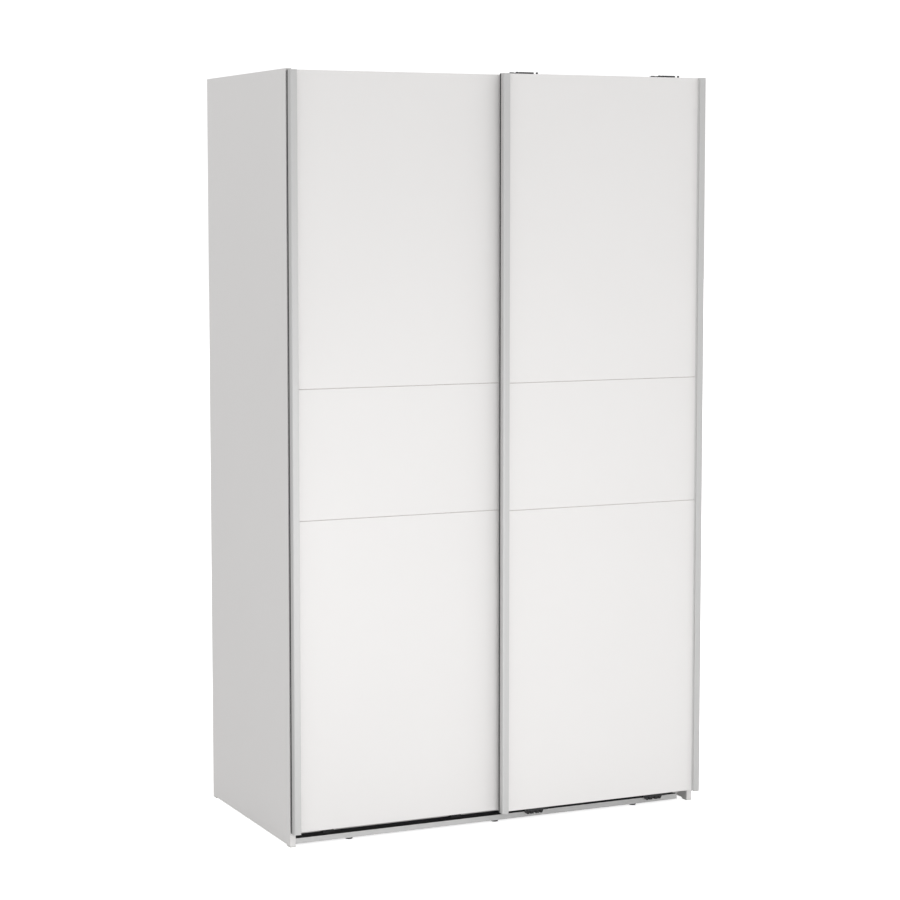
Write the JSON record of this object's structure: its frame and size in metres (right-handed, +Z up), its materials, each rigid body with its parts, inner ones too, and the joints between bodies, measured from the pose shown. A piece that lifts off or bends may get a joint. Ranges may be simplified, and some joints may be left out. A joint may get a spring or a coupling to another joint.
{
  "type": "sliding door wardrobe",
  "caption": "White free-standing wardrobe with two sliding doors that hang on rollers from a top track and pass each other, aluminium grips, shelves and a clothes rail.",
  "frame": {"origin": "on the floor, under the middle of the closed wardrobe's bounding box", "axes": "+X to the right along the front, +Y to the back, +Z up; the doors face -Y"},
  "size_m": [1.2, 0.66, 2.005],
  "materials": {
    "white_board": "white melamine faced board, satin",
    "white_back": "thin lacquered hardboard, white face",
    "aluminium": "satin anodised",
    "black_steel": "black powder coat on folded sheet steel",
    "zinc_steel": "bright zinc plate",
    "zinc_cast": "die-cast zinc",
    "black_plastic": "moulded, fine texture",
    "white_plastic": "moulded, smooth",
    "nylon": "turned nylon",
    "pile": "short dark pile",
    "hardboard": "bare hardboard",
    "beech": "bare beech",
    "chrome_tube": "polished chrome plate"
  },
  "bodies": {
    "carcase": {"back_joint_strip": "white_plastic", "back_panel_left": "white_back", "back_panel_nails": "zinc_steel", "back_panel_right": "white_back", "bottom_fascia": "aluminium", "bottom_panel": "white_board", "bottom_track": "black_plastic", "cam_fasteners": "zinc_cast", "centre_partition": "white_board", "clothes_rail": "chrome_tube", "hat_shelf": "white_board", "left_side_panel": "white_board", "rail_sockets": "white_plastic", "right_shelf_1": "white_board", "right_shelf_2": "white_board", "right_shelf_3": "white_board", "right_shelf_4": "white_board", "right_side_panel": "white_board", "shelf_pins": "white_plastic", "side_glides": "white_plastic", "top_panel": "white_board", "top_track": "aluminium", "track_end_stops": "black_plastic", "track_feet": "black_plastic", "track_screws": "zinc_steel", "wood_dowels": "beech"},
    "rear_door": {"rear_door_adjusters": "zinc_steel", "rear_door_axles": "zinc_steel", "rear_door_dust_strip": "pile", "rear_door_grip_left": "aluminium", "rear_door_grip_right": "aluminium", "rear_door_guides": "black_plastic", "rear_door_hanger_left": "black_steel", "rear_door_hanger_right": "black_steel", "rear_door_panel_lower": "white_board", "rear_door_panel_middle": "white_board", "rear_door_panel_upper": "white_board", "rear_door_screws": "zinc_steel", "rear_door_splines": "hardboard"},
    "front_door": {"front_door_adjusters": "zinc_steel", "front_door_axles": "zinc_steel", "front_door_dust_strip": "pile", "front_door_grip_left": "aluminium", "front_door_grip_right": "aluminium", "front_door_guides": "black_plastic", "front_door_hanger_left": "black_steel", "front_door_hanger_right": "black_steel", "front_door_panel_lower": "white_board", "front_door_panel_middle": "white_board", "front_door_panel_upper": "white_board", "front_door_screws": "zinc_steel", "front_door_splines": "hardboard"},
    "front_door_roller_1": {"front_door_roller_1": "nylon"},
    "front_door_roller_2": {"front_door_roller_2": "nylon"},
    "front_door_roller_3": {"front_door_roller_3": "nylon"},
    "front_door_roller_4": {"front_door_roller_4": "nylon"},
    "rear_door_roller_1": {"rear_door_roller_1": "nylon"},
    "rear_door_roller_2": {"rear_door_roller_2": "nylon"},
    "rear_door_roller_3": {"rear_door_roller_3": "nylon"},
    "rear_door_roller_4": {"rear_door_roller_4": "nylon"}
  },
  "joints": [
    {"name": "rear_door_slide", "type": "slide", "parent": "carcase", "child": "rear_door", "axis": [1, 0, 0], "range_m": [0, 0.592]},
    {"name": "front_door_slide", "type": "slide", "parent": "carcase", "child": "front_door", "axis": [1, 0, 0], "range_m": [-0.582, 0.01]},
    {"name": "rear_door_roller_1_spin", "type": "hinge", "parent": "rear_door", "child": "rear_door_roller_1", "pos_m": [-0.541, -0.258, 1.9713], "axis": [0, 1, 0], "continuous": true},
    {"name": "rear_door_roller_2_spin", "type": "hinge", "parent": "rear_door", "child": "rear_door_roller_2", "pos_m": [-0.477, -0.258, 1.9713], "axis": [0, 1, 0], "continuous": true},
    {"name": "rear_door_roller_3_spin", "type": "hinge", "parent": "rear_door", "child": "rear_door_roller_3", "pos_m": [-0.115, -0.258, 1.9713], "axis": [0, 1, 0], "continuous": true},
    {"name": "rear_door_roller_4_spin", "type": "hinge", "parent": "rear_door", "child": "rear_door_roller_4", "pos_m": [-0.051, -0.258, 1.9713], "axis": [0, 1, 0], "continuous": true},
    {"name": "front_door_roller_1_spin", "type": "hinge", "parent": "front_door", "child": "front_door_roller_1", "pos_m": [0.041, -0.23, 1.9713], "axis": [0, 1, 0], "continuous": true},
    {"name": "front_door_roller_2_spin", "type": "hinge", "parent": "front_door", "child": "front_door_roller_2", "pos_m": [0.105, -0.23, 1.9713], "axis": [0, 1, 0], "continuous": true},
    {"name": "front_door_roller_3_spin", "type": "hinge", "parent": "front_door", "child": "front_door_roller_3", "pos_m": [0.467, -0.23, 1.9713], "axis": [0, 1, 0], "continuous": true},
    {"name": "front_door_roller_4_spin", "type": "hinge", "parent": "front_door", "child": "front_door_roller_4", "pos_m": [0.531, -0.23, 1.9713], "axis": [0, 1, 0], "continuous": true}
  ],
  "couplings": [
    {"joint": "rear_door_roller_1_spin", "follows": "rear_door_slide", "rad_per_m": 90.909},
    {"joint": "rear_door_roller_2_spin", "follows": "rear_door_slide", "rad_per_m": 90.909},
    {"joint": "rear_door_roller_3_spin", "follows": "rear_door_slide", "rad_per_m": 90.909},
    {"joint": "rear_door_roller_4_spin", "follows": "rear_door_slide", "rad_per_m": 90.909},
    {"joint": "front_door_roller_1_spin", "follows": "front_door_slide", "rad_per_m": 90.909},
    {"joint": "front_door_roller_2_spin", "follows": "front_door_slide", "rad_per_m": 90.909},
    {"joint": "front_door_roller_3_spin", "follows": "front_door_slide", "rad_per_m": 90.909},
    {"joint": "front_door_roller_4_spin", "follows": "front_door_slide", "rad_per_m": 90.909}
  ]
}
